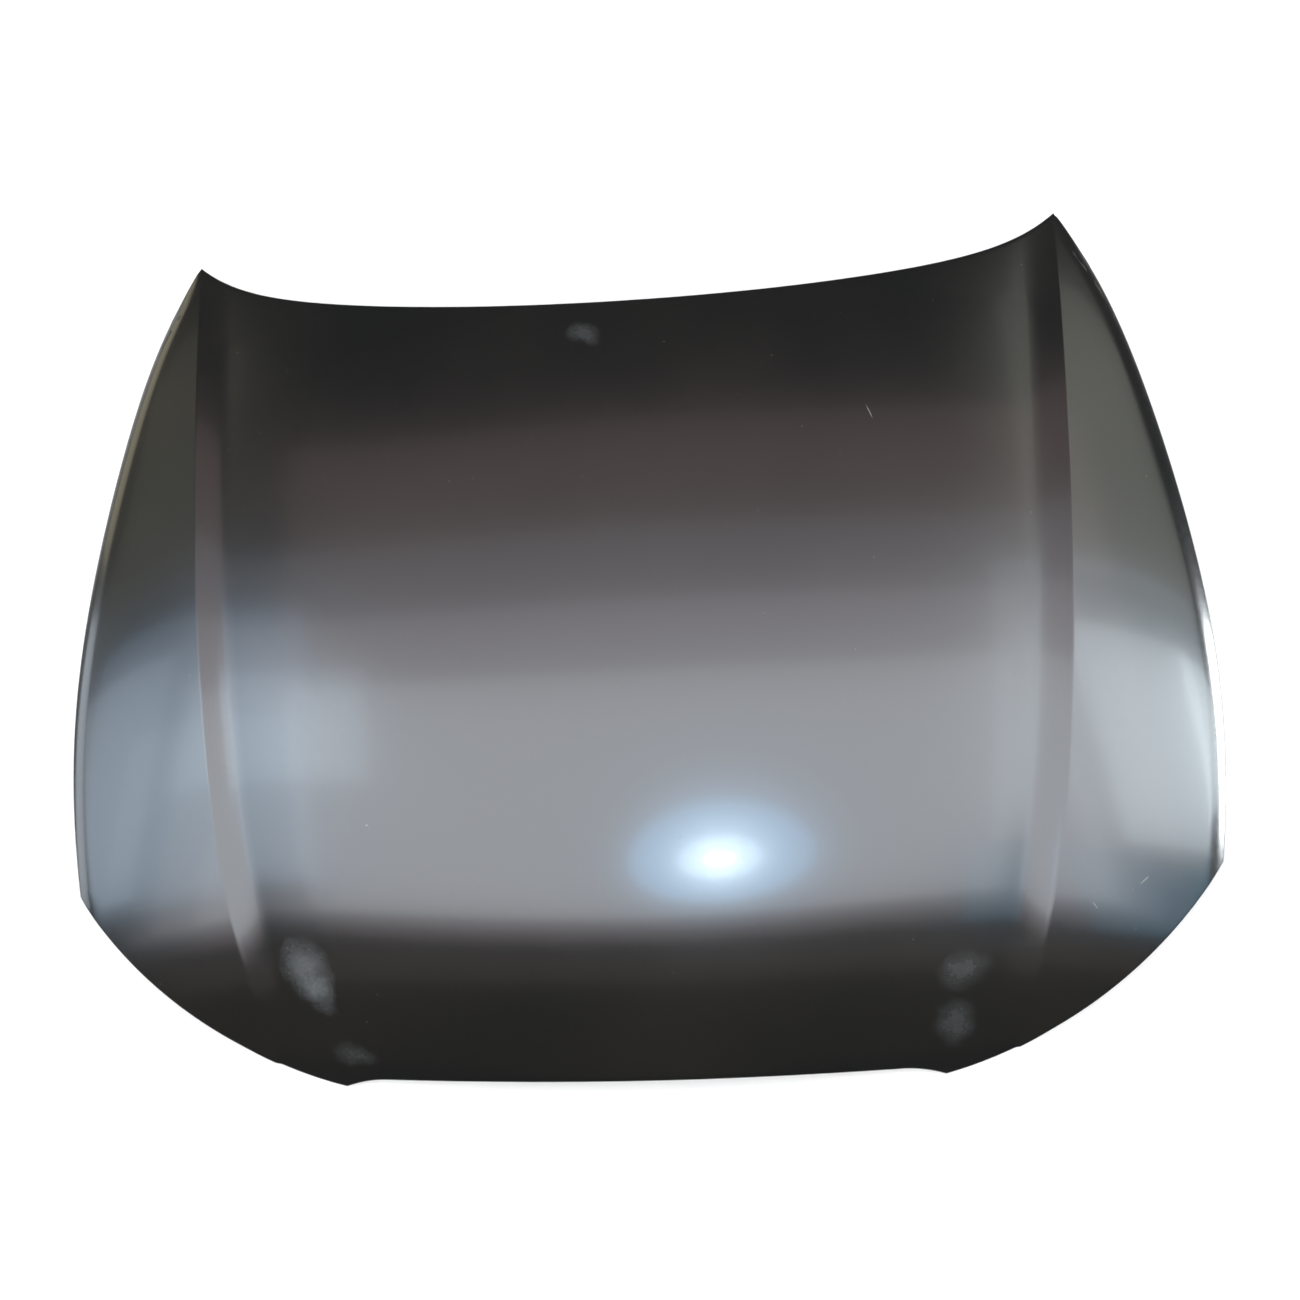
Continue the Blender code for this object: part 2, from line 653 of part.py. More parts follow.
def make_bracket(name, side, finish):
    """An angle bracket for a gas strut: the base is welded under the frame, the leg takes the ball stud."""
    top = strut_pad_z() - FRAME_THICKNESS - SEAT_GAP
    outer = BRACKET_BEND + BRACKET_THICKNESS
    profile = [(0, top), (0, top - BRACKET_THICKNESS)]
    for i in range(5):
        angle = math.pi / 2 * (1 - i / 4)
        profile.append((
            BRACKET_BASE - outer + BRACKET_BEND * math.cos(angle),
            top - outer + BRACKET_BEND * math.sin(angle),
        ))
    profile += [(BRACKET_BASE - BRACKET_THICKNESS, top - BRACKET_LEG), (BRACKET_BASE, top - BRACKET_LEG)]
    for i in range(5):
        angle = math.pi / 2 * i / 4
        profile.append((
            BRACKET_BASE - outer + outer * math.cos(angle),
            top - outer + outer * math.sin(angle),
        ))
    mesh = bmesh.new()
    left = side * (strut_x() - BRACKET_BASE / 2)
    ends = []
    for end in (-1, 1):
        y = STRUT_Y + end * BRACKET_WIDTH / 2
        ends.append([mesh.verts.new((left + side * x, y, z)) for x, z in profile])
    add_rings(mesh, ends)
    for end in ends:
        mesh.faces.new(end)
    bmesh.ops.recalc_face_normals(mesh, faces=mesh.faces)
    bracket = finished(name, mesh, finish)
    hole = bmesh.new()
    bmesh.ops.create_cone(
        hole, cap_ends=True, segments=16, radius1=BRACKET_HOLE / 2, radius2=BRACKET_HOLE / 2, depth=4 * outer
    )
    cutter = finished(name + "_hole", hole, finish)
    cutter.rotation_euler.y = math.pi / 2
    cutter.location = (left + side * (BRACKET_BASE - BRACKET_THICKNESS / 2), STRUT_Y, top - BRACKET_LEG / 2)
    cutter.hide_render = True
    cutter.display_type = "WIRE"
    cut = bracket.modifiers.new("Ball stud hole", "BOOLEAN")
    cut.operation = "DIFFERENCE"
    cut.object = cutter
    return bracket


def make_mastic(name, place, finish):
    """A bead of mastic on a window's flange, which keeps the skin from fluttering."""
    mesh = bmesh.new()
    loop = []
    for i in range(12):
        angle = 2 * math.pi * i / 12
        loop.append(place + Vector((MASTIC_WIDTH / 2 * math.cos(angle), MASTIC_LENGTH / 2 * math.sin(angle))))
    top = SKIN_THICKNESS + MASTIC_GAP
    bottom = WINDOW_FLANGE_DEPTH - MASTIC_GAP
    rings = [[mesh.verts.new(under_skin(p.x, p.y, depth)) for p in loop] for depth in (top, bottom)]
    add_rings(mesh, rings)
    for ring, depth in zip(rings, (top, bottom)):
        middle = mesh.verts.new(under_skin(place.x, place.y, depth))
        for a, b in zip(ring, ring[1:] + ring[:1]):
            mesh.faces.new((a, b, middle) if depth == top else (b, a, middle))
    return finished(name, mesh, finish)


def mastic_places():
    """Two beads at each window, midway along its sides."""
    places = []
    for corners in windows():
        for shape in both_sides(corners):
            flange = grown(shape, WINDOW_FLANGE / 2)
            places += [(flange[1] + flange[2]) / 2, (flange[3] + flange[0]) / 2]
    return places


def finished(name, mesh, finish):
    """Turns a bmesh into a named object with its own copy of a finish."""
    data = bpy.data.meshes.new(name)
    mesh.to_mesh(data)
    mesh.free()
    data.shade_smooth()
    data.set_sharp_from_angle(angle=math.radians(30))
    data.materials.append(finish)
    made = bpy.data.objects.new(name, data)
    bpy.context.scene.collection.objects.link(made)
    return made


def main():
    for old in list(bpy.data.objects):
        bpy.data.objects.remove(old)
    primer = material("black_primer", (0.022, 0.023, 0.024), 0.28, 0.0)
    inner_primer = material("black_primer_inside", (0.020, 0.020, 0.021), 0.42, 0.0)
    steel = material("zinc_plated_steel", (0.42, 0.42, 0.40), 0.38, 1.0)
    mastic = material("grey_mastic", (0.16, 0.16, 0.15), 0.85, 0.0)
    skin = make_skin(primer)
    places = [vertex.co for vertex in skin.data.vertices]
    lift = -min(place.z for place in places)
    back = -(min(place.y for place in places) + max(place.y for place in places)) / 2
    make_frame(inner_primer)
    for side, hand in ((1, "left"), (-1, "right")):
        bolts = hinge_bolts(side)
        holes = [circle(x, y, HINGE_BOLT_HOLE) for x, y in bolts]
        name = "hinge_reinforcement_" + hand
        make_plate(name, hinge_pad(side), holes, HINGE_PAD_Z, HINGE_PLATE_THICKNESS, inner_primer)
        base = HINGE_PAD_Z + SEAT_GAP + HINGE_PLATE_THICKNESS + SEAT_GAP
        for (x, y), place in zip(bolts, ("front", "rear")):
            make_nut(f"hinge_weld_nut_{hand}_{place}", x, y, base, steel)
        make_bracket("strut_bracket_" + hand, side, inner_primer)
    pad = rectangle(0, LATCH_Y, LATCH_PAD_WIDTH, LATCH_PAD_LENGTH)
    holes = [circle(x, y, LATCH_HOLE) for x, y in latch_holes()]
    make_plate("latch_reinforcement", pad, holes, LATCH_PAD_Z, LATCH_PLATE_THICKNESS, inner_primer)
    make_striker_plate(inner_primer)
    make_striker_loop(steel)
    for number, place in enumerate(mastic_places(), 1):
        make_mastic(f"mastic_pad_{number:02d}", place, mastic)
    for made in bpy.data.objects:
        made.location += Vector((0, back, lift))


main()
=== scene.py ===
import math

import bpy
import numpy as np
from mathutils import Matrix, Vector, kdtree


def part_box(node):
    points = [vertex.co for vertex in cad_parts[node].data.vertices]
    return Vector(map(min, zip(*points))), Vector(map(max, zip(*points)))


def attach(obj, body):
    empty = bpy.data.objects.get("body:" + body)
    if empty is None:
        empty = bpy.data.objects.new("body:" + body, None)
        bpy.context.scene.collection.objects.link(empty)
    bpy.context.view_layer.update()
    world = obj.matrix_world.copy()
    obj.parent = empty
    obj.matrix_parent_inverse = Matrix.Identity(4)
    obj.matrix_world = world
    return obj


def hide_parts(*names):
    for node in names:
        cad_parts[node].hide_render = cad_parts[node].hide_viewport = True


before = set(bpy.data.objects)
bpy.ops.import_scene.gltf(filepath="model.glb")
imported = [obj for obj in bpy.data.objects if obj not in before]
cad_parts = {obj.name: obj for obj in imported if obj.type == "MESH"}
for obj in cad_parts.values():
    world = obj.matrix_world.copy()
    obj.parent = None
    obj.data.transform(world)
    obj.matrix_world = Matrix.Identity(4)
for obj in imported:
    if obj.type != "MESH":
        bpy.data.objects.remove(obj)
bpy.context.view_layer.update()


# Outer skin
# One sheet of deep-drawn steel, 0.8 mm thick, creased along both sides of the centre panel. Its edge is
# folded flat round the edge of the inner frame, and all of it is dipped in black electrodeposition primer.

LENGTH = 1.155
TIP_X = 0.620
REAR_SWEEP = 0.1245
REAR_ARC_SHARE = 0.68
REAR_HOOK_POWER = 10
CORNER_X = 0.732
CORNER_Y = 0.247
SIDE_BULGE = 0.0675
SIDE_BULGE_ENDS = 0.022
SIDE_BULGE_SKEW = 0.022
LAMP_BOW_SHARE = 0.66
LAMP_SKEW_SHARE = 0.12
TAB_X = 0.377
NOTCH_WIDTH = 0.052
NOTCH_DEPTH = 0.009
FRONT_BOW = 0.0035
CREASE_END_X = 0.461
CREASE_STRAIGHT_SHARE = 0.55
CREASE_POWER = 4.4
CREASE_HEIGHT = 0.061
CREASE_SOFTNESS = 0.0014
CREASE_SOFT_SHARE = 0.3
RIDGE_HEIGHT = 0.006
RIDGE_WIDTH = 0.045
RIDGE_FADE = 0.135
ARCH_Y = 0.40
CENTRE_HEIGHT = 0.1115
CENTRE_ARCH = 0.0755
CROWN_STRAIGHTNESS = 2
EDGE_RISE = 0.033
EDGE_ARCH = 0.002
NOSE_START = 0.14
NOSE_SLOPE = 0.36
NOSE_BLEND = 0.09
FLANK_ROUNDING_SHARE = 0.25
ROLL_HEIGHT = 0.004
ROLL_WIDTH = 0.025
ROLL_FADE = 0.040
SKIN_THICKNESS = 0.0008
HEM_RADIUS = 0.00155
HEM_WIDTH = 0.011
EDGE_CLEARANCE = 0.0003
STRIKER_FROM_FRONT = 0.095
STRIKER_PLATE_TOP = 0.039
SLOPE_STEP = 0.0005
WELD_DISTANCE = 1e-6
FOLD_WELD_DISTANCE = 1e-5
SKIN_SMOOTHING = math.radians(40)

plate_low, plate_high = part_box("striker_plate")
FRONT_Y = (plate_low.y + plate_high.y) / 2 - STRIKER_FROM_FRONT
LIFT = plate_high.z - STRIKER_PLATE_TOP


def lamp_edge_y(x):
    """The front edge beside the headlamp, from the tab to the corner."""
    share = (x - TAB_X) / (CORNER_X - TAB_X)
    return CORNER_Y * share * (1 - (LAMP_BOW_SHARE + LAMP_SKEW_SHARE * share) * (1 - share))


def rear_edge_y(x):
    """The rear edge: an arc that hooks back to a tip at each end."""
    share = abs(x) / TIP_X
    rise = REAR_ARC_SHARE * share**2 + (1 - REAR_ARC_SHARE) * share**REAR_HOOK_POWER
    return LENGTH - REAR_SWEEP * (1 - rise)


def front_edge_y(x):
    """The whole front edge: between the tabs it sits back a little and bows."""
    side = abs(x)
    notch_x = TAB_X - NOTCH_WIDTH
    if side > TAB_X:
        return lamp_edge_y(side)
    if side > notch_x:
        return NOTCH_DEPTH * (1 - ((side - notch_x) / NOTCH_WIDTH) ** 2)
    return NOTCH_DEPTH - FRONT_BOW * (1 - (side / notch_x) ** 2)


def side_edge_x(y):
    """The side edge, bulging from the rear tip to the corner."""
    run = (LENGTH - y) / (LENGTH - CORNER_Y)
    along = 1 - 2 * run
    bulge = SIDE_BULGE + SIDE_BULGE_ENDS * along**2 + SIDE_BULGE_SKEW * along**3
    return TIP_X + (CORNER_X - TIP_X) * run + 4 * run * (1 - run) * bulge


def crease_x(y):
    """The crease, from the rear tip to the headlamp edge."""
    run = max(0, (LENGTH - y) / (LENGTH - lamp_edge_y(CREASE_END_X)))
    share = CREASE_STRAIGHT_SHARE * run + (1 - CREASE_STRAIGHT_SHARE) * run**CREASE_POWER
    return TIP_X - (TIP_X - CREASE_END_X) * share


def nose_drop(y):
    """How far the skin has turned down towards the front edge."""
    ahead = NOSE_START - y
    return NOSE_SLOPE / 2 * (ahead + math.hypot(ahead, NOSE_BLEND))


def crown(share):
    """The centre panel's section: 1 on the centre line and 0 at the crease."""
    end = math.sqrt(1 + CROWN_STRAIGHTNESS)
    return (end - math.sqrt(1 + CROWN_STRAIGHTNESS * share**2)) / (end - 1)


def pressed_height(x, y):
    """The skin's face, with a sharp crease."""
    side = abs(x)
    crease = crease_x(y)
    top = CREASE_HEIGHT * (1 - ((y - ARCH_Y) / (LENGTH - ARCH_Y)) ** 2) - nose_drop(y)
    if side <= crease:
        centre = CENTRE_HEIGHT - CENTRE_ARCH * ((y - ARCH_Y) / (LENGTH - ARCH_Y)) ** 2 - nose_drop(y)
        near = max(0, 1 - (crease - side) / RIDGE_WIDTH)
        from_end = max(0, min(y - lamp_edge_y(CREASE_END_X), LENGTH - y))
        ridge = RIDGE_HEIGHT * min(1, from_end / RIDGE_FADE)
        return top - ridge + (centre - top + ridge) * crown(side / crease) + ridge * near**2
    run = (LENGTH - y) / (LENGTH - CORNER_Y)
    edge = EDGE_RISE * run + 4 * run * (1 - run) * EDGE_ARCH - nose_drop(y)
    flank = max(1e-6, side_edge_x(y) - crease)
    out = (side - crease) / flank
    fall = (1 - FLANK_ROUNDING_SHARE) * out + FLANK_ROUNDING_SHARE * out**3
    roll = max(0, 1 - (1 - out) * flank / min(ROLL_WIDTH, flank))
    return top + (edge - top) * fall - ROLL_HEIGHT * min(1, flank / ROLL_FADE) * roll**2


def height(x, y):
    """The skin's face, with the crease rounded over a few millimetres."""
    gap = abs(abs(x) - crease_x(y))
    reach = min(CREASE_SOFTNESS, CREASE_SOFT_SHARE * (side_edge_x(y) - crease_x(y)))
    if reach <= 0 or gap > 2 * reach:
        return pressed_height(x, y)
    reach *= min(1, 2 - gap / reach)
    return sum(pressed_height(x + step * reach, y) for step in (-1, -0.5, 0, 0.5, 1)) / 5


def normal(x, y):
    across = height(x + SLOPE_STEP, y) - height(x - SLOPE_STEP, y)
    along = height(x, y + SLOPE_STEP) - height(x, y - SLOPE_STEP)
    return Vector((-across, -along, 2 * SLOPE_STEP)).normalized()


def under_skin(x, y, depth):
    """The point at this depth straight under the skin's face, in the frame's coordinates."""
    point = Vector((x, y + FRONT_Y, height(x, y) + LIFT))
    return point - depth * normal(x, y) if depth else point


ROWS = 144
CORNER_ROW = 108
CENTRE_COLUMNS = 56
NOTCH_COLUMN = 36
TAB_COLUMN = 42
STOPS_BY_CREASE = ((52, 0.985), (54, 0.9915), (55, 0.9955), (CENTRE_COLUMNS, 1))
FLANK_COLUMNS = 30
SOFT_COLUMN = 2
ROLL_COLUMN = 20
MOST_SOFT_SHARE = 0.1
MOST_ROLL_SHARE = 0.4


def spread(stops, column):
    """The share at a column, with the columns even between stops of (column, share)."""
    return float(np.interp(column, [stop[0] for stop in stops], [stop[1] for stop in stops]))


def centre_share(column):
    """How far across the centre panel a column stands: 0 in the middle and 1 at the crease."""
    notch = (TAB_X - NOTCH_WIDTH) / CREASE_END_X
    tab = TAB_X / CREASE_END_X
    stops = ((0, 0), (NOTCH_COLUMN, notch), (TAB_COLUMN, tab), *STOPS_BY_CREASE)
    return math.copysign(spread(stops, abs(column)), column)


def flank_share(column, width):
    """How far across a flank of this width a column stands: 0 at the crease and 1 at the edge."""
    near = min(MOST_SOFT_SHARE, 2 * CREASE_SOFTNESS / width)
    roll = min(MOST_ROLL_SHARE, ROLL_WIDTH / width)
    return spread(((0, 0), (SOFT_COLUMN, near), (ROLL_COLUMN, 1 - roll), (FLANK_COLUMNS, 1)), column)


def row_ends(row):
    """The crease point and the edge point that a row joins on the left flank."""
    y = LENGTH + (lamp_edge_y(CREASE_END_X) - LENGTH) * row / ROWS
    if row <= CORNER_ROW:
        edge_y = LENGTH + (CORNER_Y - LENGTH) * row / CORNER_ROW
        edge = Vector((side_edge_x(edge_y), edge_y))
    else:
        x = CORNER_X + (CREASE_END_X - CORNER_X) * (row - CORNER_ROW) / (ROWS - CORNER_ROW)
        edge = Vector((x, lamp_edge_y(x)))
    return Vector((crease_x(y), y)), edge


def outline():
    """The bonnet's edge, anticlockwise from the left rear tip, and which of its points are sharp corners."""
    edge = []
    sharp = []
    for column in range(CENTRE_COLUMNS, -CENTRE_COLUMNS - 1, -1):
        x = centre_share(column) * TIP_X
        edge.append(Vector((x, rear_edge_y(x))))
    sharp += [0, len(edge) - 1]
    for row in range(1, ROWS):
        x, y = row_ends(row)[1]
        edge.append(Vector((-x, y)))
    sharp.append(2 * CENTRE_COLUMNS + CORNER_ROW)
    for column in range(-CENTRE_COLUMNS, CENTRE_COLUMNS + 1):
        x = centre_share(column) * CREASE_END_X
        edge.append(Vector((x, front_edge_y(x))))
    for row in range(ROWS - 1, 0, -1):
        edge.append(row_ends(row)[1])
    sharp.append(len(edge) - CORNER_ROW)
    return edge, sharp


def moved_in(loop, by, sharp):
    """The loop moved inwards. Beside a sharp corner, points that would cross over join the corner."""
    moved = []
    for before, point, after in zip(loop[-1:] + loop[:-1], loop, loop[1:] + loop[:1]):
        arriving = (point - before).normalized()
        leaving = (after - point).normalized()
        first = Vector((arriving.y, -arriving.x))
        second = Vector((leaving.y, -leaving.x))
        moved.append(point - by * (first + second) / (1 + first.dot(second)))
    for corner in sharp:
        for way in (-1, 1):
            k = (corner + way) % len(loop)
            while (moved[k] - moved[corner]).dot(loop[k] - loop[corner]) < 0:
                moved[k] = moved[corner]
                k = (k + way) % len(loop)
    return moved


def deselect():
    for thing in bpy.context.selected_objects:
        thing.select_set(False)


def grid(name, columns, rows, place):
    """A grid primitive whose points are moved to where place(column, row) puts them."""
    deselect()
    bpy.ops.mesh.primitive_grid_add(x_subdivisions=columns, y_subdivisions=rows, size=2)
    made = bpy.context.object
    made.name = name
    for vertex in made.data.vertices:
        column = round((vertex.co.x + 1) / 2 * columns)
        row = round((1 - vertex.co.y) / 2 * rows)
        vertex.co = place(column, row)
    return made


edge_loop, sharp_corners = outline()
edge_loop = moved_in(edge_loop, EDGE_CLEARANCE, ())
border = moved_in(edge_loop, HEM_RADIUS, sharp_corners)


def centre_place(column, row):
    column -= CENTRE_COLUMNS
    if row == 0:
        return under_skin(*border[CENTRE_COLUMNS - column], 0)
    if row == ROWS:
        return under_skin(*border[3 * CENTRE_COLUMNS + ROWS + column], 0)
    share = centre_share(column)
    crease, _ = row_ends(row)
    rear = rear_edge_y(share * TIP_X)
    front = front_edge_y(share * CREASE_END_X)
    return under_skin(share * crease.x, rear + (front - rear) * row / ROWS, 0)


def flank_place(column, row, side):
    if row in (0, ROWS):
        return centre_place(CENTRE_COLUMNS + side * CENTRE_COLUMNS, row)
    crease, edge = row_ends(row)
    if column == FLANK_COLUMNS:
        inner = border[-row] if side == 1 else border[2 * CENTRE_COLUMNS + row]
        return under_skin(inner.x, inner.y, 0)
    place = crease.lerp(edge, flank_share(column, (edge - crease).length))
    return under_skin(side * place.x, place.y, 0)


skin = grid("skin_outer", 2 * CENTRE_COLUMNS, ROWS, centre_place)
left = grid("skin_left", FLANK_COLUMNS, ROWS, lambda column, row: flank_place(column, row, 1))
right = grid("skin_right", FLANK_COLUMNS, ROWS,
             lambda column, row: flank_place(FLANK_COLUMNS - column, row, -1))
deselect()
for part in (left, right, skin):
    part.select_set(True)
bpy.context.view_layer.objects.active = skin
bpy.ops.object.join()
bpy.ops.object.mode_set(mode="EDIT")
bpy.ops.mesh.select_all(action="SELECT")
bpy.ops.mesh.remove_doubles(threshold=WELD_DISTANCE)
bpy.ops.mesh.select_all(action="DESELECT")
bpy.ops.mesh.select_non_manifold()

# The open edge is folded round and flat: each ring of new points is the outline moved in and down
FOLD_STEPS = 6
ring_depths = []
for step in range(1, FOLD_STEPS + 1):
    turn = math.pi * step / FOLD_STEPS
    ring_depths.append((HEM_RADIUS * (1 - math.sin(turn)), HEM_RADIUS * (1 - math.cos(turn))))
ring_depths.append((HEM_WIDTH, 2 * HEM_RADIUS))
ring = [under_skin(point.x, point.y, 0) for point in border]
for inset, depth in ring_depths:
    tree = kdtree.KDTree(len(ring))
    for i, point in enumerate(ring):
        tree.insert(point, i)
    tree.balance()
    ring = [under_skin(point.x, point.y, depth) for point in moved_in(edge_loop, inset, sharp_corners)]
    bpy.ops.mesh.extrude_edges_move(TRANSFORM_OT_translate={"value": (0, 0, 0)})
    bpy.ops.object.mode_set(mode="OBJECT")
    for vertex in skin.data.vertices:
        if vertex.select:
            vertex.co = ring[tree.find(vertex.co)[1]]
    bpy.ops.object.mode_set(mode="EDIT")
bpy.ops.mesh.select_all(action="SELECT")
bpy.ops.mesh.remove_doubles(threshold=FOLD_WELD_DISTANCE)
bpy.ops.mesh.normals_make_consistent(inside=False)
bpy.ops.object.mode_set(mode="OBJECT")
sheet = skin.modifiers.new("Sheet", "SOLIDIFY")
sheet.thickness = SKIN_THICKNESS
sheet.offset = -1
bpy.ops.object.modifier_apply(modifier="Sheet")
bpy.ops.object.shade_smooth_by_angle(angle=SKIN_SMOOTHING)


def node(material, kind, inputs=None, **settings):
    """Adds a shader node. An input is a number, a colour or another node's output."""
    made = material.node_tree.nodes.new("ShaderNode" + kind)
    for name, value in settings.items():
        setattr(made, name, value)
    for socket, value in (inputs or {}).items():
        if isinstance(value, bpy.types.NodeSocket):
            material.node_tree.links.new(value, made.inputs[socket])
        else:
            made.inputs[socket].default_value = value
    return made


def blank(name):
    """A new material, its Principled shader and its Object coordinates."""
    material = bpy.data.materials.new(name)
    material.use_nodes = True
    shader = material.node_tree.nodes["Principled BSDF"]
    return material, shader, node(material, "TexCoord").outputs["Object"]


def noise(material, place, scale, detail=2.0, roughness=0.5):
    inputs = {"Vector": place, "Scale": scale, "Detail": detail, "Roughness": roughness}
    return node(material, "TexNoise", inputs).outputs["Fac"]


def ranged(material, value, low, high, to_low=0.0, to_high=1.0):
    inputs = {"Value": value, "From Min": low, "From Max": high, "To Min": to_low, "To Max": to_high}
    return node(material, "MapRange", inputs).outputs["Result"]


def product(material, *values):
    found = values[0]
    for value in values[1:]:
        found = node(material, "Math", {0: found, 1: value}, operation="MULTIPLY").outputs[0]
    return found


def total(material, *values):
    found = values[0]
    for value in values[1:]:
        found = node(material, "Math", {0: found, 1: value}, operation="ADD").outputs[0]
    return found


def blended(material, share, first, second):
    made = node(material, "Mix", {0: share}, data_type="RGBA")
    for socket, value in ((6, first), (7, second)):
        if isinstance(value, bpy.types.NodeSocket):
            material.node_tree.links.new(value, made.inputs[socket])
        else:
            made.inputs[socket].default_value = (*value, 1)
    return made.outputs[2]


def bumped(material, *layers):
    """Bumps laid on each other. A layer is a pattern, its strength and its depth in metres."""
    found = None
    for pattern, strength, depth in layers:
        inputs = {"Height": pattern, "Strength": strength, "Distance": depth}
        if found:
            inputs["Normal"] = found
        found = node(material, "Bump", inputs).outputs["Normal"]
    return found


def mark(material, place, centre, size, turn=0.0):
    """A soft spot, 1 in its middle and 0 at its rim, at a place on the bonnet given in metres."""
    inputs = {"Vector": place, "Location": (*centre, 0), "Rotation": (0, 0, turn), "Scale": (*size, 1000)}
    local = node(material, "Mapping", inputs, vector_type="TEXTURE").outputs["Vector"]
    return node(material, "TexGradient", {"Vector": local}, gradient_type="SPHERICAL").outputs["Fac"]


# What handling has left on the primer: its place and size in metres, its turn in radians, and for a hand
# mark how strong it is
HAND_MARKS = (
    ((-0.416, -0.428), (0.034, 0.048), 0.5, 1.0),
    ((-0.400, -0.460), (0.022, 0.030), 0.7, 0.8),
    ((-0.362, -0.537), (0.034, 0.016), -0.2, 0.4),
    ((0.398, -0.449), (0.036, 0.026), 0.4, 0.5),
    ((0.388, -0.512), (0.030, 0.034), 0.2, 0.5),
    ((-0.046, 0.402), (0.028, 0.018), -0.6, 0.5),
)
SCRATCHES = (
    ((0.332, 0.267), (0.0009, 0.013), 0.35),
    ((0.627, -0.350), (0.0009, 0.010), -0.9),
    ((0.564, -0.378), (0.0008, 0.007), 0.6),
    ((-0.331, -0.252), (0.0022, 0.0016), 0.0),
)
PRIMER = (0.0050, 0.0055, 0.0058)
PRIMER_THIN = (0.0088, 0.0084, 0.0078)
HAZE = (0.20, 0.22, 0.23)
DUST = (0.30, 0.29, 0.27)
HAZE_SHOWN = 0.30
DUST_SHOWN = 0.5
HAZE_DULLS = 0.22
DUST_DULLS = 0.25
WANDER = 0.012

primer, shader, place = blank("black_primer_skin")
cloudy = noise(primer, place, scale=3.2, detail=4.0)
dip_runs = noise(primer, place, scale=24.0, detail=3.0)
fine = noise(primer, place, scale=160.0, detail=3.0)
orange_peel = noise(primer, place, scale=520.0, detail=2.0)
shifted = node(primer, "VectorMath", {
    0: node(primer, "TexNoise", {"Vector": place, "Scale": 40.0, "Detail": 4.0}).outputs["Color"],
    1: (2 * WANDER, 2 * WANDER, 0.0),
    2: (-WANDER, -WANDER, 0.0),
}, operation="MULTIPLY_ADD").outputs["Vector"]
wandering = node(primer, "VectorMath", {0: place, 1: shifted}, operation="ADD").outputs["Vector"]
streaky = ranged(primer, noise(primer, place, scale=210.0, detail=4.0, roughness=0.6), 0.38, 0.62)
smudge = 0.0
for centre, size, turn, strength in HAND_MARKS:
    spot = ranged(primer, mark(primer, wandering, centre, size, turn), 0.02, 0.80, 0.0, strength)
    smudge = total(primer, smudge, spot)
smudge = product(primer, smudge, ranged(primer, streaky, 0.0, 1.0, 0.70, 1.0))
scratch = 0.0
for centre, size, turn in SCRATCHES:
    scratch = total(primer, scratch, ranged(primer, mark(primer, place, centre, size, turn), 0.1, 0.5))
cells = node(primer, "TexVoronoi", {"Vector": place, "Scale": 62.0})
grain = product(
    primer,
    ranged(primer, cells.outputs["Distance"], 0.045, 0.020),
    ranged(primer, node(primer, "SeparateColor", {0: cells.outputs["Color"]}).outputs[0], 0.86, 0.90),
)
colour = blended(primer, ranged(primer, cloudy, 0.35, 0.75), PRIMER, PRIMER_THIN)
colour = blended(primer, product(primer, smudge, HAZE_SHOWN), colour, HAZE)
dust = total(primer, grain, scratch)
colour = blended(primer, product(primer, dust, DUST_SHOWN), colour, DUST)
gloss = ranged(primer, cloudy, 0.3, 0.7, 0.19, 0.22)
gloss = total(primer, gloss, ranged(primer, fine, 0.3, 0.7, -0.010, 0.015))
gloss = total(primer, gloss, product(primer, smudge, HAZE_DULLS), product(primer, dust, DUST_DULLS))
primer.node_tree.links.new(colour, shader.inputs["Base Color"])
primer.node_tree.links.new(gloss, shader.inputs["Roughness"])
primer.node_tree.links.new(
    bumped(primer, (cloudy, 0.12, 0.0010), (dip_runs, 0.03, 0.0004), (orange_peel, 0.03, 0.00006)),
    shader.inputs["Normal"],
)
shader.inputs["IOR"].default_value = 1.52
shader.inputs["Coat Weight"].default_value = 0.25
shader.inputs["Coat Roughness"].default_value = 0.08
skin.data.materials.clear()
skin.data.materials.append(primer)
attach(skin, "root")
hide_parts("outer_skin")


# Inner frame
# One thinner steel sheet, pressed with a channel all round and ribs between its windows, which stiffen the
# skin. Its flange lies inside the skin's hem. The primer is thinner and duller in here, and has run a little.

FRAME_THICKNESS = 0.0007
BEND_WIDTH = 0.0015
BEND_ANGLE = math.radians(28)
SOFT_ANGLE = math.radians(15)
LEVEL_ENOUGH = 0.93
LONGEST_EDGE = 0.025
UPPER_FACE = 0.05
FLAT_ANGLE = math.radians(0.4)
LEVEL = 0.99999
SMALLEST_PAD = 0.0002
PAD_REACH = 0.003
REFINEMENTS = 4
SMOOTHING_ROUNDS = 30
FRAME_SMOOTHING = math.radians(45)
CROWN_DROP = 0.055
CROWN_REACH = 0.57


def arch(x, y):
    """A smooth shape near the skin's, over the frame's coordinates. The sheet between bends follows it."""
    return pressed_height(0, y - FRONT_Y) - CROWN_DROP * (x / CROWN_REACH) ** 2


def edge_faces(thing):
    """Each edge of a mesh, with the number of faces it has."""
    counts = dict.fromkeys(thing.data.edge_keys, 0)
    for face in thing.data.polygons:
        for key in face.edge_keys:
            counts[key] += 1
    return counts.items()


